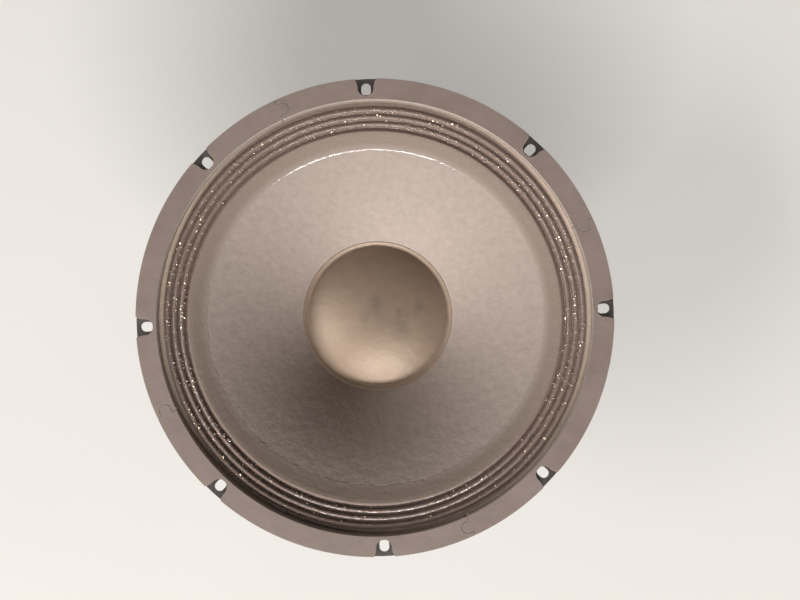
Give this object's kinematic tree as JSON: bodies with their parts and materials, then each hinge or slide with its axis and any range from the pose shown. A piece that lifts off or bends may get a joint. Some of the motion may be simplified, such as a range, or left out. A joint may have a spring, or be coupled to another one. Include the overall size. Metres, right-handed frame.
{
  "type": "loudspeaker driver",
  "caption": "Round cone loudspeaker driver with a pressed steel basket, slotted flange, segmented front gasket, rolled cloth surround, paper cone and a vented magnet motor.",
  "frame": {"origin": "centre of the back plate's rear face, on which the driver stands", "axes": "+Z along the driver's axis, the way the cone faces; +X and +Y through two of the flange's slots"},
  "size_m": [0.306, 0.306, 0.1345],
  "materials": {
    "black_steel": "satin",
    "gasket_fibre": "satin",
    "doped_cloth": "satin",
    "cone_paper": "matte",
    "cap_paper": "matte",
    "former_foil": "satin",
    "coil_wire": "gloss",
    "spider_cloth": "matte",
    "plated_steel": "satin",
    "ferrite": "matte",
    "screen_steel": "matte",
    "rivet_steel": "satin",
    "board_fibre": "matte",
    "post_brass": "satin",
    "red_plastic": "satin",
    "black_plastic": "satin",
    "spring_steel": "gloss",
    "lug_tin": "satin",
    "tinsel_braid": "matte"
  },
  "bodies": {
    "frame": {"basket": "black_steel", "gasket_segment_1": "gasket_fibre", "gasket_segment_2": "gasket_fibre", "gasket_segment_3": "gasket_fibre", "gasket_segment_4": "gasket_fibre", "surround": "doped_cloth", "spider": "spider_cloth", "top_plate": "plated_steel", "magnet": "ferrite", "back_plate": "plated_steel", "pole_piece": "plated_steel", "vent_screen": "screen_steel", "basket_rivets": "rivet_steel", "terminal_board": "board_fibre", "terminal_rivets": "rivet_steel", "terminal_post_positive": "post_brass", "terminal_post_negative": "post_brass", "push_spring_positive": "spring_steel", "push_spring_negative": "spring_steel", "solder_lug_positive": "lug_tin", "solder_lug_negative": "lug_tin", "tinsel_lead_positive": "tinsel_braid", "tinsel_lead_negative": "tinsel_braid"},
    "diaphragm": {"cone": "cone_paper", "dust_cap": "cap_paper", "coil_former": "former_foil", "voice_coil": "coil_wire", "lead_pad_positive": "lug_tin", "lead_pad_negative": "lug_tin"},
    "positive_cap": {"push_cap_positive": "red_plastic"},
    "negative_cap": {"push_cap_negative": "black_plastic"}
  },
  "joints": [
    {"name": "cone_travel", "type": "slide", "parent": "frame", "child": "diaphragm", "axis": [0, 0, 1], "range_m": [-0.008, 0.008], "stiffness_N_per_m": 3500, "deforming": ["surround", "spider", "tinsel_lead_positive", "tinsel_lead_negative"]},
    {"name": "positive_cap_press", "type": "slide", "parent": "frame", "child": "positive_cap", "axis": [-0.3055, 0.7376, 0.6022], "range_m": [0, 0.0045], "stiffness_N_per_m": 400, "springref_m": -0.002, "deforming": ["push_spring_positive"]},
    {"name": "negative_cap_press", "type": "slide", "parent": "frame", "child": "negative_cap", "axis": [-0.3055, 0.7376, 0.6022], "range_m": [0, 0.0045], "stiffness_N_per_m": 400, "springref_m": -0.002, "deforming": ["push_spring_negative"]}
  ]
}
